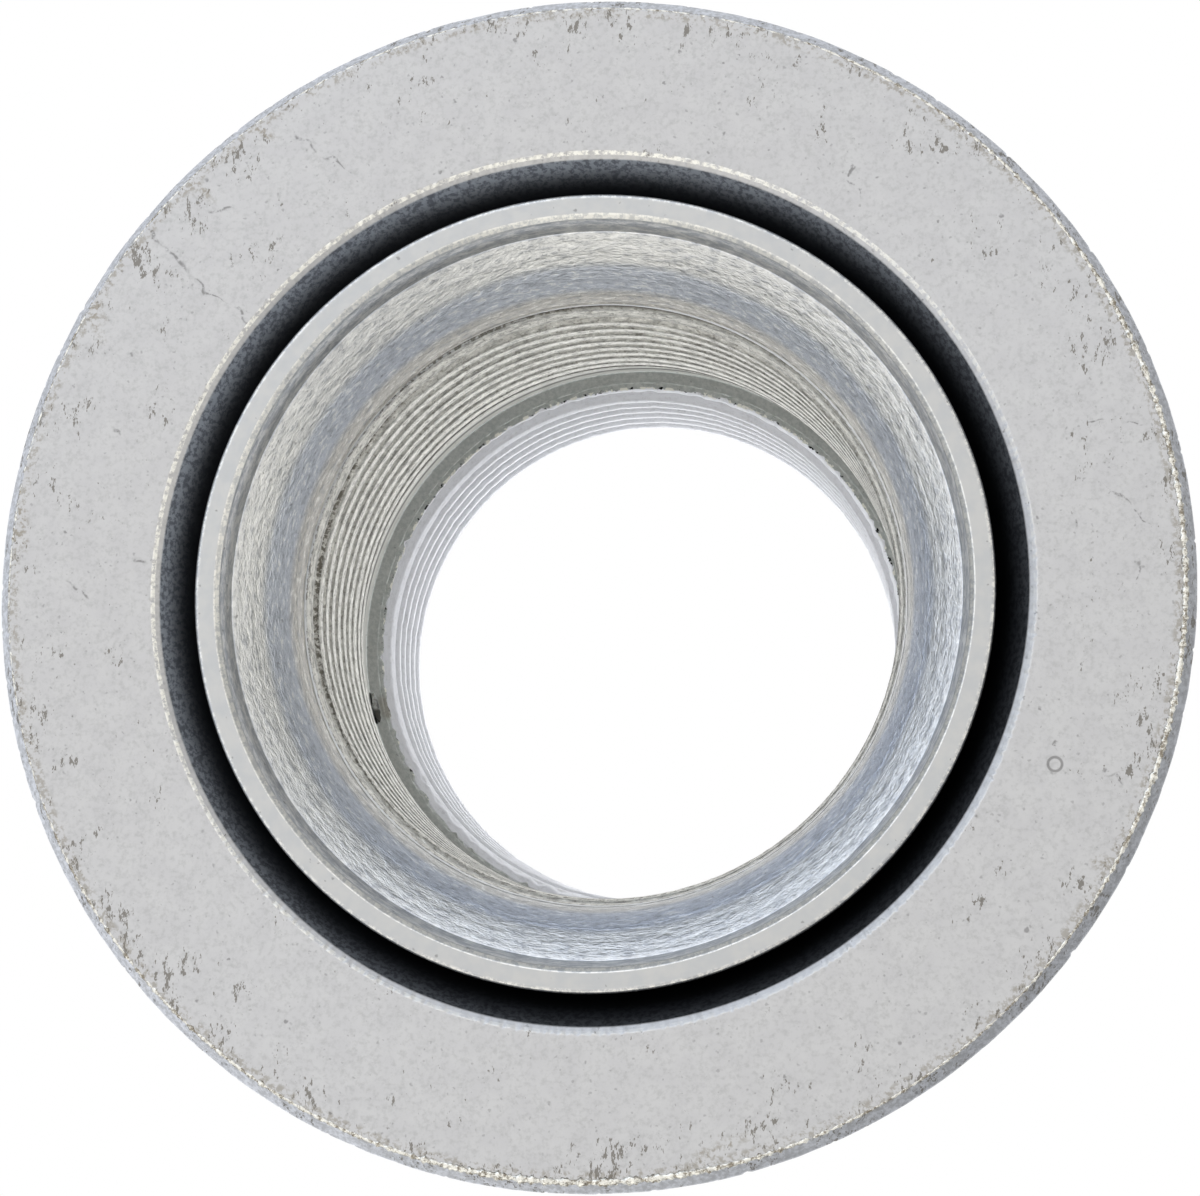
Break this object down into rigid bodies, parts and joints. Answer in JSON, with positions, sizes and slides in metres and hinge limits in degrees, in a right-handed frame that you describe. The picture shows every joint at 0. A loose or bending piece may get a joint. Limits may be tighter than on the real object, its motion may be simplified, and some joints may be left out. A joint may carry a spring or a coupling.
{
  "type": "spindle nut",
  "caption": "Hexagonal spindle nut with a thick captive washer that turns under its swaged skirt, a rounded mouth and a fine-threaded bore with a relief groove.",
  "frame": {"origin": "centre of the hexagon end face, on the thread axis", "axes": "+Z along the thread axis, from the hexagon end to the washer's seat face; +X through a corner of the hexagon"},
  "size_m": [0.0605, 0.0605, 0.0365],
  "materials": {
    "nut_plating": "matte zinc plating with turning marks",
    "washer_plating": "matte zinc plating with fine scratches"
  },
  "bodies": {
    "nut": {"nut_body": "nut_plating"},
    "washer": {"captive_washer": "washer_plating"}
  },
  "joints": [
    {"name": "washer_spin", "type": "hinge", "parent": "nut", "child": "washer", "pos_m": [0, 0, 0.0315], "axis": [0, 0, 1], "continuous": true}
  ]
}
